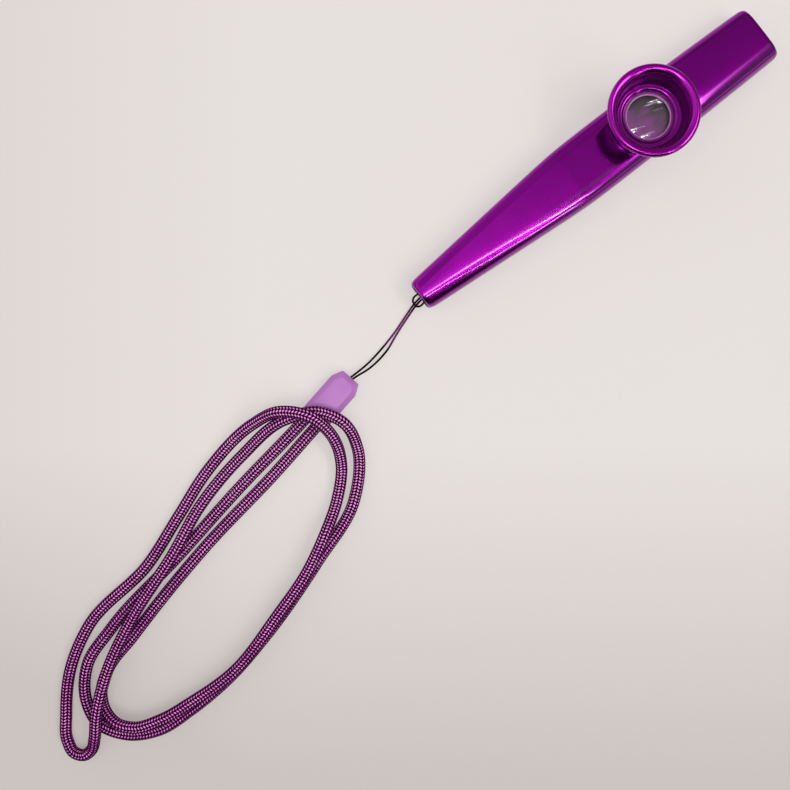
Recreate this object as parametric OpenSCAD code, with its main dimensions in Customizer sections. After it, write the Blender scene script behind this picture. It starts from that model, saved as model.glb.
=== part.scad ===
// Metal kazoo with a screw-down resonator cup and a neck lanyard.
// The frame: X runs from the open tail to the mouth end, Z is up, the table is z = 0.

/* [Body] */
// length of the tube from the tail to the mouth end
body_l = 120; // [100:1:140]
// width of the tube where it is widest
body_w = 18.3; // [17.8:0.1:22]
// height of the tube where it is highest
body_h = 12.6; // [11.5:0.1:15]
// width of the tube at the open tail
tail_w = 9.2; // [7.5:0.1:14]
// top of the tube at the open tail
tail_top = 10.5; // [9:0.1:11.5]
// height of the underside above the table at the tail
tail_rise = 2; // [1.9:0.1:2.5]
// width of the tube at the mouth end
mouth_w = 16.7; // [12:0.1:17.8]
// height of the tube at the mouth end
mouth_h = 9.5; // [8:0.1:11]
// wall thickness of the tube
wall = 0.9; // [0.6:0.05:1.2]
// diameter of the hole for the string, in the bottom wall near the tail
string_hole_d = 2.2; // [1.8:0.1:2.6]

/* [Neck] */
// distance of the neck from the middle of the tube
neck_x = 18.1; // [10:0.1:22]
// height of the neck above the tube
neck_rise = 2.8; // [2.8:0.1:4]
// diameter under the thread, which is also the hole in the tube
neck_d = 16.2; // [15.8:0.1:16.4]
// wall thickness of the neck under the thread
neck_wall = 1.2; // [0.9:0.05:1.5]
// rise of the thread in one turn
pitch = 1.2; // [0.8:0.1:1.2]
// height of the thread ridge
thread_h = 0.45; // [0.3:0.05:0.5]

/* [Membrane] */
// clear diameter of the frame
frame_bore_d = 11.8; // [11:0.1:13]
// thickness of the frame
frame_t = 0.8; // [0.5:0.1:1]
// thickness of the film
film_t = 0.1; // [0.1:0.05:0.2]

/* [Cup] */
// diameter of the cup over its rolled lip
cup_d = 24.9; // [23.6:0.1:28]
// height of the cup from its skirt to its lip
cup_h = 11.5; // [10:0.1:15]
// wall thickness of the skirt outside its thread
skirt_wall = 1.2; // [0.9:0.05:1.5]
// wall thickness of the flared cup
cup_wall = 1; // [0.8:0.05:1.3]
// diameter of the rolled lip's own bead
bead_d = 1.9; // [1.5:0.1:2.2]
// diameter of the sound opening in the floor of the cup
cup_bore_d = 13.4; // [12:0.1:14]

/* [Lanyard] */
// diameter of the braided cord
cord_d = 3.4; // [3:0.1:3.4]
// diameter of the string
string_d = 0.6; // [0.5:0.05:0.6]
// length of the plastic clamp
clamp_l = 15.5; // [15:0.5:20]
// width of the clamp
clamp_w = 8.8; // [8.6:0.1:10]
// thickness of the clamp
clamp_t = 5.4; // [5.2:0.1:5.4]
// width of the clamp's narrow end
clamp_tip_w = 5.8; // [4:0.1:8]
// thickness of the metal band round the two cord ends
band_t = 0.25; // [0.2:0.05:0.3]

/* [Hidden] */
$fn = 72;
cut_over = 1;
seat_gap = 0.05;

// tube outline
stations = 24;
corner_steps = 6;
taper_end_share = 0.44;
crown_end_share = 0.775;
tail_x = -body_l / 2;
mouth_x = body_l / 2;
shoulder_x = tail_x + body_l * taper_end_share;
crown_end_x = tail_x + body_l * crown_end_share;
blend_w = 0.8;
blend_h = 0.3;
tail_corner = 3;
body_corner = 4;
mouth_corner = 3.5;
string_hole_inset = 2.5;
string_hole_x = tail_x + string_hole_inset;

// neck and its thread
root_half_share = 0.25;
crest_half_share = 0.1;
neck_foot_share = 0.7;
thread_steps = 36;
neck_turns = 1.5;
cup_turns = 1;
thread_bury = 0.2;
thread_clear = 0.15;
thread_end_gap = 0.25;
neck_root_r = neck_d / 2;
neck_bore_d = neck_d - 2 * neck_wall;
neck_crest_r = neck_root_r + thread_h;
cup_crest_r = neck_root_r + thread_clear;
root_half = pitch * root_half_share;
crest_half = pitch * crest_half_share;
neck_foot = body_h * neck_foot_share;
neck_top = body_h + neck_rise;
neck_thread_z = neck_top - thread_end_gap - root_half - neck_turns * pitch;

// membrane cartridge, stacked on the neck
frame_side_gap = 0.2;
frame_side_w = 1.6;
frame_d = max(neck_d - 2 * frame_side_gap, frame_bore_d + 2 * frame_side_w);
film_z = neck_top;
frame_z = film_z + film_t;

// cup outline, as radius and height
cup_root_r = max(neck_crest_r + thread_clear, frame_d / 2 + frame_side_gap);
skirt_gap = 0.3;
flare_drop = 0.35;
bowl_inset = 0.6;
floor_h = 2.35;
floor_z = frame_z + frame_t + seat_gap;
skirt_z = body_h + skirt_gap;
flare_z = floor_z - flare_drop;
bead_sides = 24;
bead_r = bead_d / 2;
bead_ring_r = cup_d / 2 - bead_r;
bead_z = skirt_z + cup_h - bead_r;
cup_bore_r = cup_bore_d / 2;
skirt_r = cup_root_r + skirt_wall;
bowl_r = skirt_r - bowl_inset;
floor_r_shares = [1, 0.69, 0.31, 0.21, 0];
floor_z_shares = [1, 0.4, 0.37, 0.12, 0.1];

// clamp placement and its pocket
clamp_tip = [-89.2, -5.9];
clamp_turn = 190.65;
clamp_edge = 0.8;
clamp_shoulder = 3.1;
clamp_mid_z = clamp_t / 2;
cords_apart = 0.42;
fit_gap = 0.05;
cord_half_pitch = (cord_d + cords_apart) / 2;
band_inner_r = cord_d / 2 + fit_gap;
band_outer_r = band_inner_r + band_t;
pocket_r = band_outer_r + fit_gap;
pocket_l = 10.2;
band_l = 6;
band_inset = 1.5;
band_start = clamp_l - band_inset - band_l;
knot_cell = [2.5, 4, 2.4];
slot_w = 2.2;
slot_h = 0.9;

// cord route, from one end in the clamp round to the other end
cord_route = [
  [-94.25, -8.79, 2.7], [-106.5, -11.1, 2.7], [-121.9, -14, 1.9], [-151, -18.5, 1.9],
  [-169.5, -22.5, 1.8], [-183, -26, 1.8], [-194, -29, 1.8], [-199.5, -33, 1.9],
  [-201.4, -37.5, 2.9], [-200.5, -42.5, 4.8], [-197, -46.5, 5.2], [-190.5, -49, 5.2],
  [-180, -50.5, 5.3], [-166, -51, 5.7], [-146, -46, 5.7], [-132, -41.5, 5.7],
  [-122, -36.4, 5.4], [-113.5, -30.9, 2.7], [-106.5, -24, 3.2], [-103.1, -15, 8.6],
  [-104.6, -7.6, 12], [-110.1, -1.8, 10.7], [-119, 0.5, 5.5], [-137.5, -1.9, 2],
  [-151.5, -6.9, 1.8], [-167, -12.5, 1.8], [-191, -16, 1.8], [-202.5, -22.5, 1.8],
  [-211, -31.5, 1.8], [-215.5, -38, 1.8], [-216, -41.5, 2.1], [-214, -44, 2.6],
  [-211, -44, 3.4], [-208, -42, 5], [-203, -37, 6.7], [-194.5, -30, 6.1],
  [-179.5, -22, 5.4], [-158.5, -14.5, 5.7], [-145.4, -8.7, 3.2], [-127, -4.5, 2],
  [-110.5, -4.2, 7.2], [-102.4, -7.9, 7.9], [-98.5, -14.5, 7.2], [-100, -23, 2.6],
  [-110, -34.1, 1.9], [-128, -41.1, 1.8], [-153.5, -49, 1.8], [-169, -52, 1.8],
  [-182.5, -52.5, 1.8], [-193, -51.5, 1.8], [-201, -47, 1.8], [-205.6, -39, 1.8],
  [-204, -31.5, 1.8], [-198, -24.5, 1.8], [-186.5, -20.5, 1.8], [-159.5, -16, 1.8],
  [-133.1, -11.2, 1.8], [-107.2, -7.35, 2.7], [-94.96, -5.04, 2.7]
];
cord_ring_gap = 14;
gap_step = 1;
same_run = 4 * cord_d;

// string route, from its knot in the clamp, round the wall by the hole, and back
string_route = [
  [-91.6, -6, 2.7], [-89, -5.9, 2.7], [-83, -5.7, 1.2], [-76.5, -4.6, 0.5],
  [-71.5, -3.35, 0.4], [-66, -1.55, 0.8], [-62, -0.35, 1.1], [-59.2, 0.1, 1.3],
  [-57.4, 0.4, 2.2], [-58, 0.7, 3.5], [-59.4, 1, 3.6], [-60.9, 1.1, 2.8],
  [-61.6, 0.9, 1.4], [-62.1, 0.3, 0.4],
  [-62.2, -0.4, 0.3],
  [-62.1, -1.2, 0.4], [-61.6, -1.8, 1.4], [-60.9, -2, 2.8], [-59.4, -1.7, 3.6],
  [-58, -0.8, 3.5], [-57.4, -0.4, 2.2], [-59.2, -0.6, 1.3], [-62, -1.05, 1.1],
  [-66, -2.25, 0.8], [-71.5, -4.15, 0.4], [-76.5, -6.1, 0.5], [-83, -7.05, 1.2],
  [-89, -6.6, 2.7], [-91.6, -6.7, 2.7]
];
string_ring_gap = 9;
knot_d = 1.8;
knot_sides = 10;
knot_at = [-92, -6.35, 2.7];
route_sides = 8;

// the lower of two sizes, with the corner between them eased
function soft_min(a, b, k) = (a + b - sqrt((a - b) * (a - b) + k * k)) / 2;

function ramp(x, a, b) = max(0, min(1, (x - a) / (b - a)));

function width_at(x) = soft_min(
  tail_w + (body_w - tail_w) * (x - tail_x) / (shoulder_x - tail_x),
  body_w - (body_w - mouth_w) * pow(ramp(x, shoulder_x, mouth_x), 2),
  blend_w * ramp(x, tail_x, shoulder_x)
);

function base_at(x) = tail_rise * (1 - ramp(x, tail_x, shoulder_x));

function top_at(x) = soft_min(
  tail_top + (body_h - tail_top) * ramp(x, tail_x, shoulder_x),
  body_h + (mouth_h - body_h) * (x - crown_end_x) / (mouth_x - crown_end_x),
  blend_h * (1 - ramp(x, crown_end_x, mouth_x))
);

function corner_at(x) = tail_corner
  + (body_corner - tail_corner) * ramp(x, tail_x, shoulder_x)
  - (body_corner - mouth_corner) * ramp(x, crown_end_x, mouth_x);

// one cross section of the tube, drawn in by the inset
function section(x, place, inset) =
  let (
    half = width_at(x) / 2 - inset,
    low = base_at(x) + inset,
    high = top_at(x) - inset,
    r = corner_at(x) - inset,
    ys = [half - r, r - half, r - half, half - r],
    zs = [high - r, high - r, low + r, low + r]
  ) [
    for (q = [0 : 3]) for (s = [0 : corner_steps])
      let (a = 90 * q + 90 * s / corner_steps)
        [place, ys[q] + r * cos(a), zs[q] + r * sin(a)]
  ];

// triangles of a closed skin through rings of equal size
function skin_faces(count, sides) = concat(
  [for (k = [1 : sides - 2]) [0, k, k + 1]],
  [
    for (i = [0 : count - 2]) for (k = [0 : sides - 1])
      let (a = i * sides + k, b = i * sides + (k + 1) % sides)
        each [[a, b + sides, b], [a, a + sides, b + sides]]
  ],
  [for (k = [1 : sides - 2]) let (z = (count - 1) * sides) [z, z + k + 1, z + k]]
);

module skin(rings) {
  polyhedron(
    points = [for (ring = rings) each ring],
    faces = skin_faces(len(rings), len(rings[0])),
    convexity = 10
  );
}

// smooth curve through a route, as in a cubic through each pair of points
function span(route, i) = norm(route[i + 1] - route[i]);

function chord_dir(route, i) = (route[i + 1] - route[i]) / span(route, i);

function slope_at(route, i) =
  i == 0 ? chord_dir(route, 0) :
  i == len(route) - 1 ? chord_dir(route, i - 1) :
  (chord_dir(route, i - 1) * span(route, i) + chord_dir(route, i) * span(route, i - 1))
    / (span(route, i) + span(route, i - 1));

function curve_point(route, i, t) =
  let (h = span(route, i))
    (2 * t * t * t - 3 * t * t + 1) * route[i]
    + (t * t * t - 2 * t * t + t) * h * slope_at(route, i)
    + (3 * t * t - 2 * t * t * t) * route[i + 1]
    + (t * t * t - t * t) * h * slope_at(route, i + 1);

function curve(route, gap, floor_at) =
  let (pts = [
    for (i = [0 : len(route) - 2])
      let (n = max(1, round(span(route, i) / gap)))
        for (k = [0 : n - 1]) curve_point(route, i, k / n),
    route[len(route) - 1]
  ]) [for (p = pts) [p[0], p[1], max(p[2], floor_at)]];

function unit(v) = v / norm(v);

function heading(pts, i) = unit(
  pts[min(i + 1, len(pts) - 1)] - pts[max(i - 1, 0)]
);

// frames carried along the curve without twisting
function carried(pts, i = 0, side = [0, 0, 1], made = []) =
  i == len(pts) ? made :
  let (
    d = heading(pts, i),
    s = unit(side - (side * d) * d)
  ) carried(pts, i + 1, s, concat(made, [[d, s]]));

function tube_rings(pts, r, sides) =
  let (frames = carried(pts)) [
    for (i = [0 : len(pts) - 1])
      let (u = frames[i][1], v = cross(frames[i][0], u)) [
        for (k = [0 : sides - 1])
          let (a = 360 * (k + 0.5) / sides)
            pts[i] + r * (cos(a) * u + sin(a) * v)
      ]
  ];

// least clear distance between runs of one tube, on points along its middle
function run_points(pts) = [
  for (i = [0 : len(pts) - 2])
    let (n = ceil(norm(pts[i + 1] - pts[i]) / gap_step))
      for (k = [0 : n - 1]) pts[i] + (pts[i + 1] - pts[i]) * k / n,
  pts[len(pts) - 1]
];

function least_gap(pts, d) =
  let (run = run_points(pts), skip = ceil(same_run / gap_step))
    min([
      for (i = [0 : len(run) - 1 - skip])
        min([for (k = [i + skip : len(run) - 1]) norm(run[k] - run[i])])
    ]) - d;

module tube(route, gap, d, sides) {
  skin(tube_rings(curve(route, gap, d / 2), d / 2, sides));
}

// screw ridge between two radii, buried a little in the wall that carries it
module ridge(wall_r, crest_r, z0, turns) {
  out = sign(crest_r - wall_r);
  buried_half = root_half + thread_bury * (root_half - crest_half) / thread_h;
  skin([
    for (i = [0 : round(turns * thread_steps)])
      let (a = 360 * i / thread_steps, z = z0 + pitch * i / thread_steps) [
        for (c = [
          [wall_r - out * thread_bury, buried_half],
          [crest_r, crest_half],
          [crest_r, -crest_half],
          [wall_r - out * thread_bury, -buried_half]
        ]) [c[0] * cos(a), c[0] * sin(a), z + out * c[1]]
      ]
  ]);
}

module body_fill(inset, reach) {
  skin([
    for (i = [0 : stations])
      let (
        x = tail_x + body_l * i / stations,
        end = i == 0 ? -reach : i == stations ? reach : 0
      ) section(x, x + end, inset)
  ]);
}

module kazoo_body() {
  color("#8a1a96")
    difference() {
      body_fill(0, 0);
      body_fill(wall, cut_over);
      translate([neck_x, 0, neck_foot])
        cylinder(h = body_h, r = neck_root_r);
      translate([string_hole_x, 0, 0])
        cylinder(h = tail_rise + 2 * wall, d = string_hole_d);
    }
}

module turret_neck() {
  color("#9a1fa6")
    difference() {
      union() {
        translate([neck_x, 0, neck_foot])
          cylinder(h = neck_top - neck_foot, r = neck_root_r);
        translate([neck_x, 0, 0])
          ridge(neck_root_r, neck_crest_r, neck_thread_z, neck_turns);
      }
      translate([neck_x, 0, 0])
        cylinder(h = neck_top + cut_over, d = neck_bore_d);
      body_fill(wall, cut_over);
    }
}

module membrane_film() {
  color("#a58fa6")
    translate([neck_x, 0, film_z])
      cylinder(h = film_t, d = frame_d);
}

module membrane_frame() {
  color("#e9d8ee")
    translate([neck_x, 0, frame_z])
      difference() {
        cylinder(h = frame_t, d = frame_d);
        translate([0, 0, -cut_over])
          cylinder(h = frame_t + 2 * cut_over, d = frame_bore_d);
      }
}

module resonator_cup() {
  color("#c02fc8")
    translate([neck_x, 0, 0]) {
      rotate_extrude()
        polygon(concat(
          [
            [cup_root_r, skirt_z],
            [skirt_r, skirt_z],
            [skirt_r, flare_z],
            [bead_ring_r, bead_z],
            [bead_ring_r - cup_wall, bead_z]
          ],
          [
            for (k = [0 : len(floor_r_shares) - 1]) [
              cup_bore_r + (bowl_r - cup_bore_r) * floor_r_shares[k],
              floor_z + floor_h * floor_z_shares[k]
            ]
          ],
          [
            [cup_bore_r, floor_z],
            [cup_root_r, floor_z]
          ]
        ));
      translate([0, 0, bead_z])
        rotate_extrude()
          translate([bead_ring_r, 0])
            circle(r = bead_r, $fn = bead_sides);
      ridge(cup_root_r, cup_crest_r, neck_thread_z + pitch / 2, cup_turns);
    }
}

module lanyard_string() {
  color("#15101a")
    union() {
      tube(string_route, string_ring_gap, string_d, route_sides);
      translate(knot_at)
        sphere(d = knot_d, $fn = knot_sides);
    }
}

module clamp_plan(inset) {
  half = clamp_w / 2 - inset;
  tip = clamp_tip_w / 2 - inset;
  polygon([
    [inset, -tip], [clamp_shoulder, -half], [clamp_l - inset, -half],
    [clamp_l - inset, half], [clamp_shoulder, half], [inset, tip]
  ]);
}

// outline of two round cords side by side, across the clamp
module pair_outline(r) {
  for (side = [-1, 1])
    translate([0, side * cord_half_pitch])
      circle(r = r);
  square([2 * r, 2 * cord_half_pitch], center = true);
}

module clamp_place(along) {
  translate([clamp_tip[0], clamp_tip[1], 0])
    rotate([0, 0, clamp_turn])
      translate([along, 0, 0])
        children();
}

module pair_run(r, l) {
  translate([0, 0, clamp_mid_z])
    rotate([0, 90, 0])
      linear_extrude(height = l)
        pair_outline(r);
}

module cord_clamp() {
  color("#b878c8")
    clamp_place(0)
      difference() {
        hull() {
          translate([0, 0, clamp_edge])
            linear_extrude(height = clamp_t - 2 * clamp_edge)
              clamp_plan(0);
          linear_extrude(height = clamp_t)
            clamp_plan(clamp_edge);
        }
        translate([clamp_l - pocket_l, 0, 0])
          pair_run(pocket_r, pocket_l + cut_over);
        translate([clamp_shoulder, 0, clamp_mid_z])
          cube(knot_cell, center = true);
        translate([0, 0, clamp_mid_z])
          cube([2 * clamp_shoulder, slot_w, slot_h], center = true);
      }
}

module crimp_band() {
  color("#c9c9cc")
    clamp_place(band_start)
      difference() {
        pair_run(band_outer_r, band_l);
        translate([-cut_over, 0, 0])
          pair_run(band_inner_r, band_l + 2 * cut_over);
      }
}

module lanyard_cord() {
  color("#5a1560")
    tube(cord_route, cord_ring_gap, cord_d, route_sides);
  echo(cord_least_gap = least_gap(curve(cord_route, cord_ring_gap, cord_d / 2), cord_d));
}

kazoo_body();
turret_neck();
membrane_film();
membrane_frame();
resonator_cup();
lanyard_string();
cord_clamp();
crimp_band();
lanyard_cord();
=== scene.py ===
"""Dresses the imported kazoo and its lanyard.

Sizes are in millimetres until a mesh is made, as in the part's source.
"""
import math

import bmesh
import bpy
import numpy as np
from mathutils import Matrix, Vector


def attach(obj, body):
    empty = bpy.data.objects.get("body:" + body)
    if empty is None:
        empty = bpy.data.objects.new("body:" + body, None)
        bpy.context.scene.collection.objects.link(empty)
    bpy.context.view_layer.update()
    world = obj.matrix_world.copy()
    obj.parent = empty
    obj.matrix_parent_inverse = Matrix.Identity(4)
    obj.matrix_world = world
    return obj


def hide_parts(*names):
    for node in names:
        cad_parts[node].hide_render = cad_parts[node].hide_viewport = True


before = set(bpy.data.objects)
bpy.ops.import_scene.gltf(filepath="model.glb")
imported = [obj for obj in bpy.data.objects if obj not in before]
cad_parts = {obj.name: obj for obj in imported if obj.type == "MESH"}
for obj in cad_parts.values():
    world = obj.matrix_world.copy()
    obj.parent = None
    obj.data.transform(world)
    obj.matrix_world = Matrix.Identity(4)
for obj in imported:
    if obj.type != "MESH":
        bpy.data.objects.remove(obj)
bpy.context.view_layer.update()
MM = 0.001

# The tube, as in the part's source
BODY_L, BODY_W, BODY_H = 120.0, 18.3, 12.6
TAIL_W, TAIL_TOP, TAIL_RISE = 9.2, 10.5, 2.0
MOUTH_W, MOUTH_H, WALL = 16.7, 9.5, 0.9
SHOULDER_SHARE, CROWN_END_SHARE = 0.44, 0.775
TAIL_X, MOUTH_X = -BODY_L / 2, BODY_L / 2
SHOULDER_X = TAIL_X + BODY_L * SHOULDER_SHARE
CROWN_END_X = TAIL_X + BODY_L * CROWN_END_SHARE
STRING_HOLE_X, STRING_HOLE_R = TAIL_X + 2.5, 1.1

# Its section: the shoulder turns on a soft and then a tight radius, and the flat top falls by a small angle
SOFT_R, TIGHT_R, LOW_R, CROWN = 5.0, 3.2, 3.2, 0.04
SHOULDER_TURN = math.pi / 4
SHOULDER_W = SOFT_R * math.sin(SHOULDER_TURN) + TIGHT_R * (1 - math.sin(SHOULDER_TURN))
SHOULDER_BLEND, CROWN_BLEND = 0.8, 0.3
# steps along its bottom and its side, and points on its lower corner, its two shoulder turns and its top
BOTTOM_STEPS, SIDE_STEPS = 3, 4
LOW_POINTS, TIGHT_POINTS, SOFT_POINTS, TOP_POINTS = 13, 12, 18, 7

# Its rims: their own rounding, and how far and how long the outside is drawn in toward each, from a start
RIM_R, RIM_STEPS = 0.2, 5
TAIL_DRAWN, TAIL_DRAWN_L, TAIL_DRAWN_FROM = 0.5, 1.3, 1.4
MOUTH_DRAWN, MOUTH_DRAWN_L, MOUTH_DRAWN_FROM = 0.25, 0.95, 1.0
# the plan corners of both ends: width, depth, and the length over which they fade
TAIL_CORNER, MOUTH_CORNER = (1.0, 0.8, 4), (1.4, 1.2, 5)
# lengths of close rings at the tail and the mouth, and the count of rings in the three stretches
TAIL_CLOSE, MOUTH_CLOSE = 1.8, 1.5
TAIL_RINGS, MIDDLE_RINGS, MOUTH_RINGS = 13, 170, 9

# The neck and the cup, as in the part's source
NECK_X, NECK_R, NECK_TOP, PITCH = 18.1, 8.1, 15.4, 1.2
FLOOR_Z, CUP_BORE_R, CUP_ROOT_R, CUP_CREST_R, SKIRT_R, SKIRT_Z = 16.35, 6.7, 8.7, 8.25, 9.9, 12.9
NECK_HOLE_BOTTOM, NECK_HOLE_TOP, NECK_HOLE_PLAY = 8.82, 16, 0.01
BEAD_R, BEAD_RING_R, BEAD_Z = 0.95, 11.5, 23.45
BEAD_ANGLES, CUP_SIDES = range(-112, 90, 8), 160
# the lip falls into the bowl on a broader arc than in the source
LIP_R, LIP_ANGLES = 1.9, range(90, 160, 4)
THREAD_END_GAP, THREAD_ROOT_HALF, NECK_TURNS = 0.25, PITCH / 4, 1.5
THREAD_Z = NECK_TOP - THREAD_END_GAP - THREAD_ROOT_HALF - NECK_TURNS * PITCH + PITCH / 2
THREAD_STEPS, THREAD_FADE, THREAD_LEAST = 72, 6, 0.02
THREAD_SUNK, THREAD_SUNK_HALF, THREAD_CREST_HALF = 0.2, 0.38, 0.12

# The film and its ring
FILM_Z, FILM_T, FRAME_T, FRAME_R, FRAME_BORE_R = 15.4, 0.1, 0.8, 7.9, 5.9
FILM_HOLE_R, FILM_PLAY, FILM_CLEAR = 0.04, 0.05, 0.01
FILM_RINGS, FILM_SIDES = 70, 180

# The cord, the string and the clamp, as in the part's source
CORD_D, STRING_D = 3.4, 0.6
CORD_CLEAR, STRING_CLEAR = 0.05, 0.01
CLAMP_TIP, CLAMP_TURN = (-89.2, -5.9), math.radians(190.65)
CLAMP_L, CLAMP_W, CLAMP_T, CLAMP_TIP_W, CLAMP_EDGE, CLAMP_SHOULDER = 15.5, 8.8, 5.4, 5.8, 0.8, 3.1
CLAMP_TOP_FALL, CLAMP_TOP_INSET, CLAMP_BEVEL = 1.8, 1.4, 0.22
CORD_HALF_PITCH, POCKET_R, POCKET_L = 1.91, 2.05, 10.2
STRING_SLOT, KNOT_CELL, KNOT_CELL_L = (2.2, 0.9), (4.0, 2.4), 2.5
KNOT_AT, KNOT_D = (-92.0, -6.35, 2.7), 1.8
KNOT_LOBES, KNOT_TWIST, KNOT_DEPTH = 5, 4, 0.07

# The braid: columns of stitches round the cord, a stitch's length, its slant in its column, and its relief
COLUMNS, STITCH, SLANT = 10, 0.86, 0.6
BRAID_SUNK, BRAID_RELIEF, BRAID_EVEN = 0.1, 0.12, 0.4
# and the string's two plies: the length of a turn, their relief, and the step between its rings
PLY_TURN, PLY_DEPTH, STRING_STEP = 1.6, 0.08, 0.22

CORD_ROUTE = [
    (-94.25, -8.79, 2.7), (-106.5, -11.1, 2.7), (-121.9, -14, 1.9), (-151, -18.5, 1.9),
    (-169.5, -22.5, 1.8), (-183, -26, 1.8), (-194, -29, 1.8), (-199.5, -33, 1.9),
    (-201.4, -37.5, 2.9), (-200.5, -42.5, 4.8), (-197, -46.5, 5.2), (-190.5, -49, 5.2),
    (-180, -50.5, 5.3), (-166, -51, 5.7), (-146, -46, 5.7), (-132, -41.5, 5.7),
    (-122, -36.4, 5.4), (-113.5, -30.9, 2.7), (-106.5, -24, 3.2), (-103.1, -15, 8.6),
    (-104.6, -7.6, 12), (-110.1, -1.8, 10.7), (-119, 0.5, 5.5), (-137.5, -1.9, 2),
    (-151.5, -6.9, 1.8), (-167, -12.5, 1.8), (-191, -16, 1.8), (-202.5, -22.5, 1.8),
    (-211, -31.5, 1.8), (-215.5, -38, 1.8), (-216, -41.5, 2.1), (-214, -44, 2.6),
    (-211, -44, 3.4), (-208, -42, 5), (-203, -37, 6.7), (-194.5, -30, 6.1),
    (-179.5, -22, 5.4), (-158.5, -14.5, 5.7), (-145.4, -8.7, 3.2), (-127, -4.5, 2),
    (-110.5, -4.2, 7.2), (-102.4, -7.9, 7.9), (-98.5, -14.5, 7.2), (-100, -23, 2.6),
    (-110, -34.1, 1.9), (-128, -41.1, 1.8), (-153.5, -49, 1.8), (-169, -52, 1.8),
    (-182.5, -52.5, 1.8), (-193, -51.5, 1.8), (-201, -47, 1.8), (-205.6, -39, 1.8),
    (-204, -31.5, 1.8), (-198, -24.5, 1.8), (-186.5, -20.5, 1.8), (-159.5, -16, 1.8),
    (-133.1, -11.2, 1.8), (-107.2, -7.35, 2.7), (-94.96, -5.04, 2.7),
]
STRING_ROUTE = [
    (-91.6, -6, 2.7), (-89, -5.9, 2.7), (-83, -5.7, 1.2), (-76.5, -4.6, 0.5),
    (-71.5, -3.35, 0.4), (-66, -1.55, 0.8), (-62, -0.35, 1.1), (-59.2, 0.1, 1.3),
    (-57.4, 0.4, 2.2), (-58, 0.7, 3.5), (-59.4, 1, 3.6), (-60.9, 1.1, 2.8),
    (-61.6, 0.9, 1.4), (-62.1, 0.3, 0.4), (-62.2, -0.4, 0.3), (-62.1, -1.2, 0.4),
    (-61.6, -1.8, 1.4), (-60.9, -2, 2.8), (-59.4, -1.7, 3.6), (-58, -0.8, 3.5),
    (-57.4, -0.4, 2.2), (-59.2, -0.6, 1.3), (-62, -1.05, 1.1), (-66, -2.25, 0.8),
    (-71.5, -4.15, 0.4), (-76.5, -6.1, 0.5), (-83, -7.05, 1.2), (-89, -6.6, 2.7),
    (-91.6, -6.7, 2.7),
]

# The film's creases: middle right and up in the picture, half length, half width and height in millimetres,
# and the strength of the painted highlight on each
CREASES = [
    (2.1, 4.75, 1.9, 0.19, 0.15, 1.0),
    (1.5, 3.95, 2.0, 0.19, 0.12, 0.65),
    (3.4, 4.35, 0.7, 0.34, 0.2, 1.3),
    (2.8, 2.3, 1.3, 0.22, 0.06, 0.16),
    (-3.6, -3.1, 1.0, 0.24, 0.16, 1.3),
    (-3.9, -3.9, 0.8, 0.2, 0.14, 1.2),
    (-1.9, -2.6, 0.9, 0.16, 0.1, 0.35),
    (-0.75, -4.95, 1.05, 0.38, 0.22, 1.5),
    (0.6, -4.1, 0.8, 0.22, 0.08, 0.35),
]
CREASE_LEAN = math.radians(19)
# the painted highlight of a crease is narrower and shorter than its ridge, and moved back along it
HIGHLIGHT_NARROW, HIGHLIGHT_SHORT, HIGHLIGHT_BACK = 1.25, 1.15, 0.25
# distances in from the ring's bore at which each starts and is full: a crease, its painted highlight, the
# ring's painted shade
CREASE_FREE, HIGHLIGHT_FREE, SHADE_IN = (0.1, 0.6), (-0.1, 0.2), (1.1, 0.3)
# the shade is least at the lower left of the picture
SHADE_MIDDLE, SHADE_RISE, SHADE_RIGHT, SHADE_LEAST = 0.6, 0.14, 0.8, 0.05

# The camera looks straight down. Half the picture and the focal length are in pixels.
CAMERA_AT, PICTURE_TURN = (-82.35, -17.46, 340), math.radians(-37.8)
HALF_PICTURE, FOCAL, CLIP_START = 395, 1195, 5
PICTURE_RIGHT = (math.cos(PICTURE_TURN), math.sin(PICTURE_TURN))
PICTURE_UP = (-math.sin(PICTURE_TURN), math.cos(PICTURE_TURN))


# Mesh helpers
def smoothed(mesh, sharp):
    """Shades the mesh smooth, but for edges past the sharp angle in degrees, where there is one."""
    mesh.polygons.foreach_set("use_smooth", [True] * len(mesh.polygons))
    if sharp:
        mesh.set_sharp_from_angle(angle=math.radians(sharp))


def placed(name, mesh):
    """An object in the scene that shows the mesh."""
    piece = bpy.data.objects.new(name, mesh)
    bpy.context.collection.objects.link(piece)
    return piece


def make(name, verts, faces, materials, uvs=None, sharp=None, flags=None):
    """A mesh object from points in millimetres. flags gives a material index for each face."""
    mesh = bpy.data.meshes.new(name)
    mesh.from_pydata((np.asarray(verts, float) * MM).tolist(), [], faces)
    for material in materials:
        mesh.materials.append(material)
    if flags is not None:
        mesh.polygons.foreach_set("material_index", flags)
    if uvs is not None:
        layer = mesh.uv_layers.new(name="UVMap")
        layer.data.foreach_set("uv", np.asarray(uvs, float).ravel())
    piece = placed(name, mesh)
    work = bmesh.new()
    work.from_mesh(mesh)
    bmesh.ops.recalc_face_normals(work, faces=work.faces)
    work.to_mesh(mesh)
    work.free()
    smoothed(mesh, sharp)
    return piece


def cut(piece, *tools, sharp=30):
    """Takes the tools out of the piece, and the tools away."""
    for tool in tools:
        step = piece.modifiers.new("cut", "BOOLEAN")
        step.object = tool
        step.operation = "DIFFERENCE"
        step.solver = "EXACT"
    done = bpy.data.meshes.new_from_object(piece.evaluated_get(bpy.context.evaluated_depsgraph_get()))
    piece.modifiers.clear()
    piece.data = done
    done.name = piece.name
    for tool in tools:
        bpy.data.objects.remove(tool)
    smoothed(done, sharp)
    return piece


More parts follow.
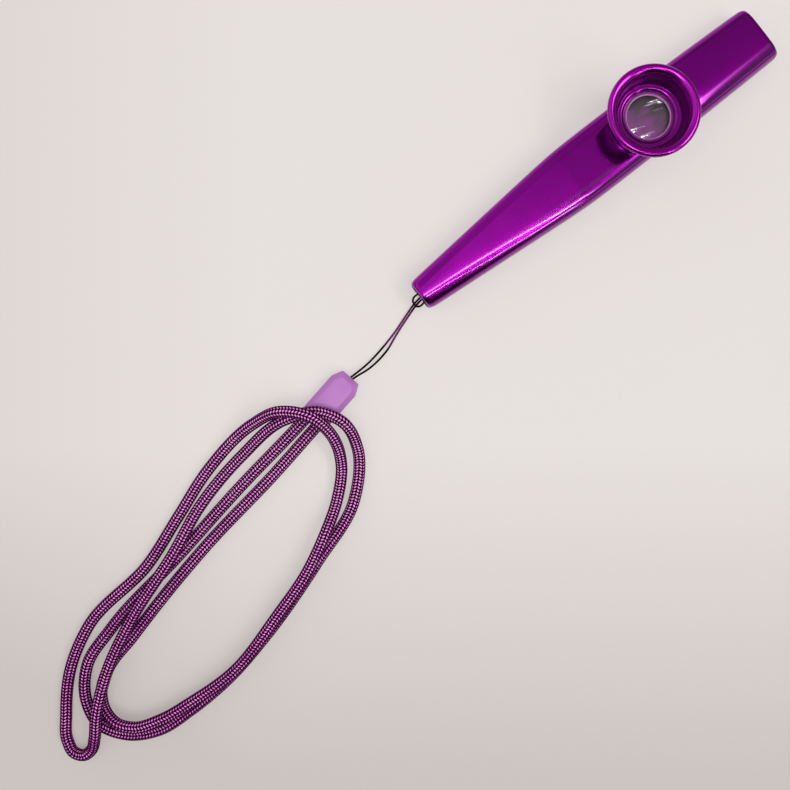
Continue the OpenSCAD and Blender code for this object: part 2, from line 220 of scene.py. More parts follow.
def band(count, sides, closed):
    """Quads between rings of equal size, and from the last ring to the first where closed."""
    a = np.arange(count if closed else count - 1)[:, None] * sides
    b = (a + sides) % (count * sides)
    k = np.arange(sides)[None]
    n = (k + 1) % sides
    return np.stack([a + k, a + n, b + n, b + k], axis=2).reshape(-1, 4)


def caps(count, sides):
    """The end faces of a row of rings."""
    return [list(range(sides))[::-1], list(range((count - 1) * sides, count * sides))]


def between(near, far):
    """A tool for a cut: the solid between two rings of equal size."""
    sides = len(near)
    return make("tool", near + far, caps(2, sides) + band(2, sides, False).tolist(), [])


def drill(x, radius, bottom, top, sides):
    """A tool for an upright round cut in the tube's middle plane. It is turned by an odd part of a step, so
    that its corners keep off the points that it cuts."""
    angles = [2 * math.pi * (k + 0.37) / sides for k in range(sides)]
    low, high = ([(x + radius * math.cos(a), radius * math.sin(a), z) for a in angles] for z in (bottom, top))
    return between(low, high)


def arc(x, y, radius, angles):
    """Points round (x, y), at angles in degrees."""
    return [(x + radius * math.cos(math.radians(a)), y + radius * math.sin(math.radians(a))) for a in angles]


def rounded(points, steps):
    """A closed outline of (x, y, radius) corners, with each corner turned on an arc."""
    out = []
    count = len(points)
    for i, (x, y, r) in enumerate(points):
        here = np.array([x, y])
        back = np.array(points[i - 1][:2]) - here
        ahead = np.array(points[(i + 1) % count][:2]) - here
        back_l, ahead_l = np.linalg.norm(back), np.linalg.norm(ahead)
        back, ahead = back / back_l, ahead / ahead_l
        half = math.acos(np.clip(back @ ahead, -1, 1)) / 2
        # a corner that is all but straight stays a point
        if r <= 0 or half > math.radians(89):
            out.append(here)
            continue
        # an arc takes less than half of the shorter side
        reach = min(r / math.tan(half), back_l * 0.48, ahead_l * 0.48)
        middle = here + (back + ahead) / np.linalg.norm(back + ahead) * reach / math.cos(half)
        first, last = here + back * reach - middle, here + ahead * reach - middle
        turn = math.acos(np.clip(first @ last / (np.linalg.norm(first) * np.linalg.norm(last)), -1, 1))
        for t in np.arange(steps + 1) / steps:
            along = math.sin((1 - t) * turn) * first + math.sin(t * turn) * last
            out.append(middle + along / math.sin(turn))
    return np.array(out)


def revolve(outline, sides):
    """Rings of a closed outline of (radius, height) turned about the neck's axis."""
    angle = 2 * math.pi * np.arange(sides) / sides
    r, z = outline[:, :1], outline[:, 1:]
    x, y = NECK_X + r * np.cos(angle), r * np.sin(angle)
    verts = np.stack([x, y, np.broadcast_to(z, x.shape)], axis=2).reshape(-1, 3)
    return verts, band(len(outline), sides, True)


# Curves
def smooth(route, step, floor):
    """Points a step apart on the smooth curve through the route, kept above the floor, and their places."""
    p = np.array(route, float)
    chord = np.diff(p, axis=0)
    h = np.linalg.norm(chord, axis=1)
    d = chord / h[:, None]
    inner = (d[:-1] * h[1:, None] + d[1:] * h[:-1, None]) / (h[1:] + h[:-1])[:, None]
    slope = np.vstack([d[:1], inner, d[-1:]])
    pieces = 40
    t = (np.arange(pieces) / pieces)[:, None]
    dense = [
        (2 * t**3 - 3 * t**2 + 1) * p[i] + (t**3 - 2 * t**2 + t) * h[i] * slope[i]
        + (3 * t**2 - 2 * t**3) * p[i + 1] + (t**3 - t**2) * h[i] * slope[i + 1]
        for i in range(len(h))]
    dense = np.vstack(dense + [p[-1:]])
    dense[:, 2] = np.maximum(dense[:, 2], floor)
    run = np.concatenate([[0], np.cumsum(np.linalg.norm(np.diff(dense, axis=0), axis=1))])
    at = np.linspace(0, run[-1], int(round(run[-1] / step)) + 1)
    return np.stack([np.interp(at, run, dense[:, k]) for k in range(3)], axis=1), at


def carried(points):
    """A side and an up for each point, carried along without twisting."""
    heading = np.gradient(points, axis=0)
    heading /= np.linalg.norm(heading, axis=1)[:, None]
    side = np.array([0.0, 0, 1])
    sides = []
    for d in heading:
        side = side - (side @ d) * d
        side /= np.linalg.norm(side)
        sides.append(side)
    sides = np.array(sides)
    return sides, np.cross(heading, sides)


def tube(name, points, at, radius, sides, material, pitch):
    """A tube along the points. radius(u, v) is in millimetres, for u round it and v in pitches along it.
    The UVs are u and v."""
    one, two = carried(points)
    count = len(points)
    k = np.arange(sides)
    v = at / pitch
    u_grid, v_grid = np.meshgrid(k / sides, v)
    a = 2 * math.pi * u_grid[:, :, None]
    out = np.cos(a) * one[:, None] + np.sin(a) * two[:, None]
    verts = points[:, None] + radius(u_grid, v_grid)[:, :, None] * out
    left = np.broadcast_to(k / sides, (count - 1, sides))
    right = left + 1 / sides
    low = np.broadcast_to(v[:-1, None], left.shape)
    high = np.broadcast_to(v[1:, None], left.shape)
    uvs = np.stack([left, low, right, low, right, high, left, high], axis=2).reshape(-1, 2)
    end = np.stack([k / sides, np.zeros(sides)], axis=1)
    uvs = np.vstack([uvs, end[::-1], end + [0, v[-1]]])
    faces = band(count, sides, False).tolist() + caps(count, sides)
    return make(name, verts.reshape(-1, 3), faces, [material], uvs=uvs)


# Shader nodes
class Nodes:
    """Builds nodes in one tree. A value is a number or another node's socket."""

    def __init__(self, tree):
        self.tree = tree

    def node(self, kind, inputs=None, **settings):
        made = self.tree.nodes.new(kind)
        for key, value in settings.items():
            setattr(made, key, value)
        for key, value in (inputs or {}).items():
            self.put(made.inputs[key], value)
        return made

    def put(self, socket, value):
        if isinstance(value, bpy.types.NodeSocket):
            self.tree.links.new(value, socket)
        else:
            socket.default_value = value

    def math(self, operation, *values):
        """One operation on one or two values, or on more of them from the left."""
        out = self.node("ShaderNodeMath", dict(enumerate(values[:2])), operation=operation).outputs[0]
        return self.math(operation, out, *values[2:]) if len(values) > 2 else out

    def total(self, *values):
        return self.math("ADD", *values) if len(values) > 1 else values[0]

    def times(self, *values):
        return self.math("MULTIPLY", *values)

    def less(self, value, taken):
        return self.math("SUBTRACT", value, taken)

    def most(self, *values):
        return self.math("MAXIMUM", *values)

    def power(self, value, exponent):
        return self.math("POWER", value, exponent)

    def where(self, kind="Object"):
        return self.node("ShaderNodeTexCoord").outputs[kind]

    def axis(self, vector, name):
        return self.node("ShaderNodeSeparateXYZ", {"Vector": vector}).outputs[name]

    def toward(self, place, way):
        """How far a place lies along a level direction."""
        return self.total(*[self.times(self.axis(place, name), part) for name, part in zip("XY", way)])

    def stretch(self, vector, scale, turn=0.0):
        made = self.node("ShaderNodeMapping", {"Vector": vector, "Scale": scale, "Rotation": (0, 0, turn)})
        return made.outputs["Vector"]

    def noise(self, vector, scale, detail, roughness=0.5):
        return self.node("ShaderNodeTexNoise", {
            "Vector": vector, "Scale": scale, "Detail": detail, "Roughness": roughness}).outputs["Fac"]

    def ramp(self, value, *stops):
        """A colour by the value, from stops of (value, colour)."""
        made = self.node("ShaderNodeValToRGB", {"Fac": value})
        elements = made.color_ramp.elements
        while len(elements) < len(stops):
            elements.new(0.5)
        for element, (at, colour) in zip(elements, stops):
            element.position = at
            element.color = (*colour, 1)
        return made.outputs["Color"]

    def mix(self, share, colour, other):
        """A colour that turns to the other one by the share."""
        made = self.node("ShaderNodeMix", {"Factor": share, "A": colour, "B": other}, data_type="RGBA")
        return made.outputs["Result"]

    def span(self, value, given, wanted):
        """The value taken in a straight line from the given range to the wanted one, and held at its ends."""
        return self.node("ShaderNodeMapRange", {
            "Value": value, "From Min": given[0], "From Max": given[1],
            "To Min": wanted[0], "To Max": wanted[1]}).outputs["Result"]

    def step(self, value, start, end):
        """0 at the start and 1 at the end, with a soft turn. The end may be the lower."""
        return self.node("ShaderNodeMapRange", {
            "Value": value, "From Min": start, "From Max": end, "To Min": 0.0, "To Max": 1.0},
            interpolation_type="SMOOTHSTEP").outputs["Result"]

    def window(self, value, start, full, fading, end):
        """1 from full to fading, and 0 before the start and after the end."""
        return self.times(self.step(value, start, full), self.step(value, end, fading))


class Paint(Nodes):
    """Builds one material."""

    def __init__(self, name):
        self.material = bpy.data.materials.new(name)
        self.material.use_nodes = True
        super().__init__(self.material.node_tree)
        self.shader = self.tree.nodes["Principled BSDF"]

    def set(self, **values):
        for key, value in values.items():
            self.put(self.shader.inputs[key.replace("_", " ")], value)

    def bump(self, height, strength, distance):
        made = self.node("ShaderNodeBump", {"Height": height, "Strength": strength, "Distance": distance})
        self.put(self.shader.inputs["Normal"], made.outputs["Normal"])


# Materials. Their places and heights are in metres, as the shader gives them, and a ramp's stops start with
# the value that they stand at.

# the oxide is polished brighter on the side where the normal's Y falls past these
POLISHED_SIDE = (-0.035, -0.075)
# the etch is finer near the tail than round the cup: places along the tube, and its swing in roughness
ETCH_X, ETCH_DEPTH = (-0.012, 0.004), (0.01, 0.045)
# heights of the cup's rolled lip, its drawn inner wall and its skirt, and the normal's Z under the flare
LIP_HEIGHT, SKIRT_HEIGHT, UNDER_FLARE = (0.0226, 0.0234), (0.018, 0.016), (-0.02, -0.2)
# the inner wall's heights, the share of painted shade on it, and its extra roughness
WALL_HEIGHT, WALL_PAINTED_SHADE, WALL_ROUGH = (0.0174, 0.0182, 0.0218, 0.0232), 0.35, 0.2
# the lip's painted light, and the colour of the painted shade
LIP_PAINTED_LIGHT, PAINTED_SHADE_COLOUR = (0.33, 0.004, 0.33, 1), (0.13, 0.001, 0.13, 1)


def spun(p, dye_and_painted_light, coat, rough):
    """The cup's dye, oxide and roughness: painted light on the lip, painted shade on the duller inner wall
    and outside.
    """
    height = p.axis(p.where(), "Z")
    facing = p.axis(p.where("Normal"), "Z")
    wall = p.window(height, *WALL_HEIGHT)
    # the outside under the flare and on the skirt, which is painted in shade
    outside = p.most(p.step(facing, *UNDER_FLARE), p.step(height, *SKIRT_HEIGHT))
    # painted light on the lip
    dye_and_painted_light = p.mix(p.step(height, *LIP_HEIGHT), dye_and_painted_light, LIP_PAINTED_LIGHT)
    # painted shade over the outside, and at a share over the inner wall
    dye_and_painted_light = p.mix(p.most(outside, p.times(wall, WALL_PAINTED_SHADE)), dye_and_painted_light, PAINTED_SHADE_COLOUR)
    coat = p.times(coat, p.step(facing, *UNDER_FLARE[::-1]), p.less(1.0, wall))
    return dye_and_painted_light, coat, p.total(rough, p.times(wall, WALL_ROUGH))


def anodised(name, light, dark, rough, grain=0.2, flat_coat=0.3, edge_coat=0.3, cup=False):
    """Dyed aluminium: a tinted mirror with a fine etched grain, drawn out a little along the tube. Its clear
    oxide layer is polished brighter along one side."""
    p = Paint(name)
    at = p.where()
    fine = p.noise(at, scale=4200.0, detail=2.0, roughness=0.6)
    drawn = p.noise(p.stretch(at, (0.16, 1, 1)), scale=5000.0, detail=1.0)
    dye_and_painted_light = p.ramp(p.noise(at, scale=90.0, detail=4.0), (0.3, dark), (0.7, light))
    coat = p.span(p.axis(p.where("Normal"), "Y"), POLISHED_SIDE, (flat_coat, edge_coat))
    etch = p.times(p.span(fine, (0.2, 0.8), (-1.0, 1.0)), p.span(p.axis(at, "X"), ETCH_X, ETCH_DEPTH))
    etched = p.total(rough, etch)
    if cup:
        dye_and_painted_light, coat, etched = spun(p, dye_and_painted_light, coat, etched)
    p.set(Base_Color=dye_and_painted_light, Metallic=1.0, Roughness=etched, Coat_Weight=coat, Coat_Roughness=0.04)
    p.bump(p.total(p.times(fine, 0.7), p.times(drawn, 0.3)), strength=grain, distance=0.00001)
    return p.material


# a stitch's half width and half length, in its column and its pitch, and how squarely it falls off in each
STITCH_HALVES, STITCH_POWERS = (0.45, 0.4), (2.4, 2.0)
# painted light: the braid is painted paler toward the top of the picture, from one place along it to another
PAINTED_LIGHT_AT, PAINTED_LIGHT = (-0.13, -0.085), (1.0, 1.22)


def braided(name):
    """Columns of slanted stitches round the cord, slanting in turn, dark between them, with painted light and
    shade.
    """
    p = Paint(name)
    uv = p.where("UV")
    u = p.times(p.axis(uv, "X"), float(COLUMNS))
    column = p.math("FLOOR", u)
    across = p.less(p.less(u, column), 0.5)
    slant = p.times(p.less(p.times(p.math("MODULO", column, 2.0), 2.0), 1.0), SLANT)
    along = p.less(p.math("FRACT", p.total(p.axis(uv, "Y"), p.times(across, slant))), 0.5)
    wide, long = (
        p.power(p.math("DIVIDE", p.math("ABSOLUTE", value), half), power)
        for value, half, power in zip((across, along), STITCH_HALVES, STITCH_POWERS))
    stitch = p.most(p.less(1.0, p.total(wide, long)), 0.0)
    threads = p.math("SINE", p.times(across, 40.0))
    wear = p.noise(p.where(), scale=160.0, detail=2.0)
    # painted shade toward the cord's edges, as the camera sees them
    facing = p.node("ShaderNodeLayerWeight", {"Blend": 0.5}).outputs["Facing"]
    tone = p.times(
        stitch, p.total(0.94, p.times(threads, 0.06)), p.span(wear, (0.3, 0.7), (0.88, 1.12)),
        p.step(facing, 0.8, 0.15), p.span(p.toward(p.where(), PICTURE_UP), PAINTED_LIGHT_AT, PAINTED_LIGHT))
    # the palest stop is a painted highlight on the crown of each stitch
    p.set(
        Base_Color=p.ramp(
            tone, (0.0, (0.028, 0.0002, 0.022)), (0.3, (0.16, 0.002, 0.13)), (0.55, (0.31, 0.02, 0.265)),
            (0.9, (0.85, 0.40, 0.76))),
        Roughness=p.span(stitch, (0.0, 1.0), (0.8, 0.42)),
        Specular_IOR_Level=p.span(stitch, (0.0, 0.6), (0.0, 0.35)),
    )
    p.bump(p.power(stitch, 0.6), strength=0.8, distance=0.00012)
    return p.material


# the string shows purple where its two runs lie together, and a little at the tail
TOGETHER_X, NEAR_TAIL_X, TAIL_PURPLE = (-0.077, -0.0735, -0.067, -0.062), (-0.066, -0.06), 0.25


def twisted(name):
    """Black string of fine fibres."""
    p = Paint(name)
    fibre = p.noise(p.stretch(p.where("UV"), (30, 3, 1)), scale=3.0, detail=3.0)
    along = p.axis(p.where(), "X")
    purple = p.total(p.window(along, *TOGETHER_X), p.times(p.step(along, *NEAR_TAIL_X), TAIL_PURPLE))
    p.set(
        Base_Color=p.ramp(
            p.total(p.times(fibre, 0.4), p.times(purple, 0.6)),
            (0.1, (0.001, 0.0003, 0.001)), (0.3, (0.008, 0.001, 0.006)), (0.75, (0.15, 0.018, 0.115))),
        Roughness=p.span(fibre, (0.0, 1.0), (0.85, 0.7)),
        Specular_IOR_Level=0.08,
    )
    p.bump(fibre, strength=0.6, distance=0.00005)
    return p.material


def moulded(name):
    """Satin moulded plastic with a faint flow and a fine spark texture."""
    p = Paint(name)
    flow = p.noise(p.where(), scale=220.0, detail=3.0)
    spark = p.noise(p.where(), scale=5200.0, detail=2.0)
    p.set(
        Base_Color=p.ramp(flow, (0.3, (0.485, 0.175, 0.555)), (0.7, (0.53, 0.2, 0.60))),
        Roughness=p.span(spark, (0.2, 0.8), (0.36, 0.48)),
        Subsurface_Weight=0.08,
        Subsurface_Scale=0.0008,
    )
    p.bump(spark, strength=0.25, distance=0.00002)
    return p.material


# the ring is palest along its bore, a painted highlight, and turns to painted shade under the cup: distances
# from the middle of the film's ring
RING_MIDDLE, HIGHLIGHT_TO_SHADE = (NECK_X * MM, 0, 0.016), (0.0059, 0.0067)


def pale_ring(name):
    """A glossy ring, with a painted highlight at its edge and painted shade where the cup shades it."""
    p = Paint(name)
    haze = p.noise(p.where(), scale=700.0, detail=3.0)
    away = p.node("ShaderNodeVectorMath", {0: p.where(), 1: RING_MIDDLE}, operation="DISTANCE")
    p.set(
        Base_Color=p.ramp(
            p.total(p.span(away.outputs["Value"], HIGHLIGHT_TO_SHADE, (0.1, 0.9)), p.times(haze, 0.15)),
            (0.26, (0.86, 0.34, 0.82)), (0.46, (0.24, 0.03, 0.24)), (0.8, (0.13, 0.006, 0.13))),
        Roughness=p.span(haze, (0.2, 0.8), (0.16, 0.3)),
    )
    p.bump(haze, strength=0.15, distance=0.00003)
    return p.material


# the film's clouds lean by this angle, and turn more mauve toward one side of the cup
CLOUD_LEAN, MAUVE_WAY, MAUVE_AT = 0.31, (1.0, 0.6), (0.0236, 0.0126)
# the colours of the painted highlight on the creases and of the painted shade at the rim
CREASE_HIGHLIGHT, RIM_SHADE = (0.95, 0.92, 0.97, 1), (0.012, 0.008, 0.012, 1)


def filmed(name):
    """Thin, slightly hazy film: grey and mauve clouds, with painted highlights on the creases and painted
    shade at the rim.
    """
    p = Paint(name)
    at = p.where()
    cloud = p.noise(p.stretch(at, (1, 2.2, 1), CLOUD_LEAN), scale=210.0, detail=3.0)
    fine = p.noise(p.stretch(at, (0.3, 1.6, 1), CLOUD_LEAN), scale=1400.0, detail=2.0)
    side = p.span(p.toward(at, MAUVE_WAY), MAUVE_AT, (0.0, 0.55))
    mauve = p.ramp(
        p.total(p.times(cloud, 0.6), side), (0.3, (0.06, 0.04, 0.057)), (0.5, (0.12, 0.072, 0.112)),
        (0.8, (0.30, 0.08, 0.30)))
    painted = p.node("ShaderNodeVertexColor", layer_name="crease").outputs["Color"]
    marks = p.node("ShaderNodeSeparateColor", {"Color": painted}).outputs
    # red holds the painted highlight on the creases, and green the painted shade at the rim
    crease = marks["Red"]
    shaded = p.mix(p.times(marks["Green"], 0.95), mauve, RIM_SHADE)
    # the creases are painted white and made metallic, a painted highlight that glints
    p.set(
        Base_Color=p.mix(crease, shaded, CREASE_HIGHLIGHT),
        Metallic=p.step(crease, 0.2, 0.7),
        Roughness=p.span(fine, (0.2, 0.8), (0.1, 0.24)),
        Alpha=p.total(0.8, p.times(crease, 0.2)),
        Coat_Weight=0.3,
        Coat_Roughness=0.05,
    )
    p.bump(fine, strength=0.3, distance=0.00004)
    return p.material


def brushed(name):
    """Bare metal brushed one way."""
    p = Paint(name)
    line = p.noise(p.stretch(p.where(), (1, 0.1, 0.1)), scale=4000.0, detail=2.0)
    p.set(
        Base_Color=p.ramp(line, (0.3, (0.55, 0.54, 0.56)), (0.7, (0.72, 0.71, 0.74))),
        Metallic=1.0,
        Roughness=p.span(line, (0.2, 0.8), (0.25, 0.42)),
    )
    p.bump(line, strength=0.2, distance=0.00002)
    return p.material


PURPLE = anodised(
    "body_metal", light=(0.31, 0.002, 0.34), dark=(0.27, 0.001, 0.3), rough=0.15, grain=0.12, flat_coat=0.12,
    edge_coat=1.0)
CUP_PURPLE = anodised(
    "cup_metal", light=(0.31, 0.003, 0.33), dark=(0.26, 0.002, 0.28), rough=0.15, grain=0.3, flat_coat=0.2,
    edge_coat=0.35, cup=True)
NECK_PURPLE = anodised("neck_metal", light=(0.3, 0.005, 0.35), dark=(0.26, 0.004, 0.3), rough=0.24)
RIM = anodised("rim_metal", light=(0.5, 0.16, 0.55), dark=(0.4, 0.08, 0.45), rough=0.26)


# Camera
camera = bpy.data.objects.new("camera", bpy.data.cameras.new("camera"))
bpy.context.collection.objects.link(camera)
camera.location = [place * MM for place in CAMERA_AT]
camera.rotation_euler = (0, 0, PICTURE_TURN)
camera.data.angle = 2 * math.atan(HALF_PICTURE / FOCAL)
camera.data.clip_start = CLIP_START * MM
bpy.context.scene.camera = camera


# Cord and string
def braid_radius(u, v):
    """The same stitches as in the material, standing out a little."""
    # a hair more than u, so that a point on a column's edge counts to one side only
    column = np.floor(u * COLUMNS + 1e-6)
    across = u * COLUMNS - column - 0.5
    along = (v + across * (2 * (column % 2) - 1) * SLANT) % 1 - 0.5
    relief = np.cos(math.pi * across) * (BRAID_EVEN + (1 - BRAID_EVEN) * np.cos(math.pi * along))
    return CORD_D / 2 - BRAID_SUNK + BRAID_RELIEF * relief


def ply_radius(u, v):
    """Two plies turning about each other once a pitch."""
    return STRING_D / 2 * (1 - PLY_DEPTH + PLY_DEPTH * np.abs(np.cos(2 * math.pi * (u - v))))


cord_points, cord_at = smooth(CORD_ROUTE, STITCH / 2, CORD_D / 2 + CORD_CLEAR)
cord = tube(
    "braided_cord", cord_points, cord_at, braid_radius, sides=4 * COLUMNS, material=braided("cord_braid"),
    pitch=STITCH)
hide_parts("lanyard_cord")
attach(cord, "kazoo")

string_points, string_at = smooth(STRING_ROUTE, STRING_STEP, STRING_D / 2 + STRING_CLEAR)
string = tube(
    "string", string_points, string_at, ply_radius, sides=12, material=twisted("string"), pitch=PLY_TURN)
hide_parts("lanyard_string")
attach(string, "kazoo")


# Tube
def share(x, start, end):
    """0 at the start and 1 at the end, in a straight line, and held at both."""
    return np.clip((x - start) / (end - start), 0, 1)


def soft_min(a, b, k):
    """The lower of a and b, with a turn of size k where they meet."""
    return (a + b - np.sqrt((a - b) ** 2 + k * k)) / 2


def rounding(t):
    """How far a quarter circle has turned away at t, from 0 at its start to 1 at its end."""
    return 1 - np.sqrt(1 - t**2)


def section(x, inset):
    """One closed outline of the tube, drawn in by the inset: a flat top with a slight crown, a soft shoulder
    that tightens toward the upright side, and rounder corners below."""
    to_shoulder, past_crown = share(x, TAIL_X, SHOULDER_X), share(x, CROWN_END_X, MOUTH_X)
    half = soft_min(
        TAIL_W + (BODY_W - TAIL_W) * (x - TAIL_X) / (SHOULDER_X - TAIL_X),
        BODY_W - (BODY_W - MOUTH_W) * share(x, SHOULDER_X, MOUTH_X) ** 2,
        SHOULDER_BLEND * to_shoulder) / 2
    low = TAIL_RISE * (1 - to_shoulder) + inset
    high = soft_min(
        TAIL_TOP + (BODY_H - TAIL_TOP) * to_shoulder,
        BODY_H + (MOUTH_H - BODY_H) * (x - CROWN_END_X) / (MOUTH_X - CROWN_END_X),
        CROWN_BLEND * (1 - past_crown)) - inset
    soft, tight, lower = SOFT_R - inset, TIGHT_R - inset, LOW_R - inset
    flat = half - SHOULDER_W
    edge = flat + soft * math.sin(CROWN)
    soft_z = high - edge * CROWN / 2 - soft * math.cos(CROWN)
    tight_z = soft_z + (soft - tight) * math.cos(SHOULDER_TURN)
    bottom = [((half - inset - lower) * s / BOTTOM_STEPS, low) for s in range(BOTTOM_STEPS)]
    corner = [
        (half - inset - lower + lower * math.cos(a), low + lower - lower * math.sin(a))
        for a in np.linspace(math.pi / 2, 0, LOW_POINTS)]
    side = [
        (half - inset, low + lower + (tight_z - low - lower) * s / SIDE_STEPS) for s in range(1, SIDE_STEPS)]
    tight_turn = [
        (half - inset - tight + tight * math.cos(a), tight_z + tight * math.sin(a))
        for a in np.linspace(0, SHOULDER_TURN, TIGHT_POINTS, endpoint=False)]
    soft_turn = [
        (flat + soft * math.sin(a), soft_z + soft * math.cos(a))
        for a in np.linspace(SHOULDER_TURN, CROWN, SOFT_POINTS)]
    top = [
        (edge * (1 - t), high - edge * CROWN / 2 * (1 - t) ** 2) for t in np.linspace(0, 1, TOP_POINTS)[1:]]
    right = bottom + corner + side + tight_turn + soft_turn + top
    left = [(-y, z) for y, z in right[-2:0:-1]]
    return np.array(right + left)


def plan_corner(y, half, width):
    """0 over the middle, and turning to 1 at the half width, over the width of the corner."""
    return rounding(np.clip((np.abs(y) - half + width) / width, 0, 1))


def kazoo_shell():
    """The flattened tube with eased rims: out along the outside, round the mouth rim, back inside, round the
    tail rim."""
    tail_close, mouth_close = TAIL_X + TAIL_CLOSE, MOUTH_X - MOUTH_CLOSE
    run = np.concatenate([
        np.linspace(TAIL_X + RIM_R, tail_close, TAIL_RINGS),
        np.linspace(tail_close, mouth_close, MIDDLE_RINGS)[1:],
        np.linspace(mouth_close, MOUTH_X - RIM_R, MOUTH_RINGS)[1:]])
    drawn = TAIL_DRAWN * rounding(share(TAIL_X + TAIL_DRAWN_FROM - run, 0, TAIL_DRAWN_L))
    drawn += MOUTH_DRAWN * rounding(share(run - MOUTH_X + MOUTH_DRAWN_FROM, 0, MOUTH_DRAWN_L))
    quarter = [math.pi / 2 * s / RIM_STEPS for s in range(RIM_STEPS + 1)]
    # each ring as the x whose section it has, the x where it stands, and its inset
    mouth_x, tail_x, deep = MOUTH_X - RIM_R, TAIL_X + RIM_R, WALL - RIM_R
    steps = list(zip(run, run, drawn))
    steps += [
        (MOUTH_X, mouth_x + RIM_R * math.sin(a), drawn[-1] + RIM_R * (1 - math.cos(a)))
        for a in quarter[1:]]
    steps += [(MOUTH_X, mouth_x + RIM_R * math.cos(a), deep + RIM_R * math.sin(a)) for a in quarter[:-1]]
    inner = len(steps)
    steps += [(x, x, WALL) for x in run[::-1]]
    steps += [(TAIL_X, tail_x - RIM_R * math.sin(a), deep + RIM_R * math.cos(a)) for a in quarter[1:]]
    steps += [
        (TAIL_X, tail_x - RIM_R * math.cos(a), drawn[0] + (deep - drawn[0]) * (1 - math.sin(a)))
        for a in quarter[:-1]]
    rings = []
    for x, place, inset in steps:
        yz = section(x, inset)
        px = np.full(len(yz), place)
        width, depth, fade = MOUTH_CORNER
        px -= depth * plan_corner(yz[:, 0], MOUTH_W / 2, width) * share(place, MOUTH_X - fade, MOUTH_X) ** 2
        width, depth, fade = TAIL_CORNER
        px += depth * plan_corner(yz[:, 0], TAIL_W / 2, width) * share(place, TAIL_X + fade, TAIL_X) ** 2
        rings.append(np.column_stack([px, yz]))
    sides = len(rings[0])
    ring = np.arange(len(rings)).repeat(sides)
    rim = ((ring >= len(run)) & (ring < inner)) | (ring >= inner + len(run) - 1)
    faces = band(len(rings), sides, True).tolist()
    shell = make("kazoo_shell", np.vstack(rings), faces, [PURPLE, RIM], flags=rim.astype(int))
    neck_hole = drill(NECK_X, NECK_R + NECK_HOLE_PLAY, NECK_HOLE_BOTTOM, NECK_HOLE_TOP, sides=96)
    string_hole = drill(STRING_HOLE_X, STRING_HOLE_R, -1, TAIL_RISE + 2 * WALL, sides=40)
    return cut(shell, neck_hole, string_hole)


# Cup, film and ring
def cup_wall():
    """The cup's outline turned: down the bowl, over the step and through the opening, round the skirt and up
    the flare to a rolled bead that falls softly back into the bowl."""
    bead = arc(BEAD_RING_R, BEAD_Z, BEAD_R, BEAD_ANGLES)
    lip = arc(BEAD_RING_R, BEAD_Z + BEAD_R - LIP_R, LIP_R, LIP_ANGLES)
    bowl = [(9.62, 21.6, 3), (9.15, 18.7, 1.8), (8.5, 17.27, 0.2)]
    floor = [(7.5, 17.27, 1.2), (7.1, 17.0, 0.1), (7.05, 16.64, 0.08), (CUP_BORE_R, 16.63, 0.08)]
    under = [(CUP_BORE_R, FLOOR_Z, 0.08), (CUP_ROOT_R, FLOOR_Z, 0.05), (CUP_ROOT_R, SKIRT_Z, 0.2)]
    outside = [(SKIRT_R, SKIRT_Z, 0.3), (SKIRT_R, 16.0, 1.2), (11.05, 22.45, 0.2)]
    wall = rounded(bowl + floor + under + outside, steps=7)
    return revolve(np.vstack([wall, bead, lip]), CUP_SIDES)


def cup_thread():
    """One turn of the ridge inside the skirt, which rises from nothing at both ends."""
    count = np.arange(THREAD_STEPS + 1)
    ends = [
        np.sin(np.clip(left / THREAD_FADE, 0, 1) * math.pi / 2) for left in (count, THREAD_STEPS - count)]
    crest = CUP_ROOT_R - (CUP_ROOT_R - CUP_CREST_R) * np.maximum(ends[0] * ends[1], THREAD_LEAST)
    sunk = np.full_like(crest, CUP_ROOT_R + THREAD_SUNK)
    r = np.stack([sunk, crest, crest, sunk], axis=1)
    across = np.array([-THREAD_SUNK_HALF, -THREAD_CREST_HALF, THREAD_CREST_HALF, THREAD_SUNK_HALF])
    turns = count[:, None] / THREAD_STEPS
    a, z = 2 * math.pi * turns, THREAD_Z + PITCH * turns + across
    verts = np.stack([NECK_X + r * np.cos(a), r * np.sin(a), z], axis=2).reshape(-1, 3)
    return verts, band(len(count), 4, False).tolist() + caps(len(count), 4)


def resonator():
    """The cup, as its wall and the thread that runs into it."""
    wall, wall_faces = cup_wall()
    thread, thread_faces = cup_thread()
    faces = wall_faces.tolist() + [[len(wall) + k for k in face] for face in thread_faces]
    return make("cup", np.vstack([wall, thread]), faces, [CUP_PURPLE], sharp=50)


def ridge(across, along, width, half):
    """1 along the middle of a crease, falling off across it and past its ends."""
    return np.exp(-(across / width) ** 2) * np.exp(-(along / half) ** 4)


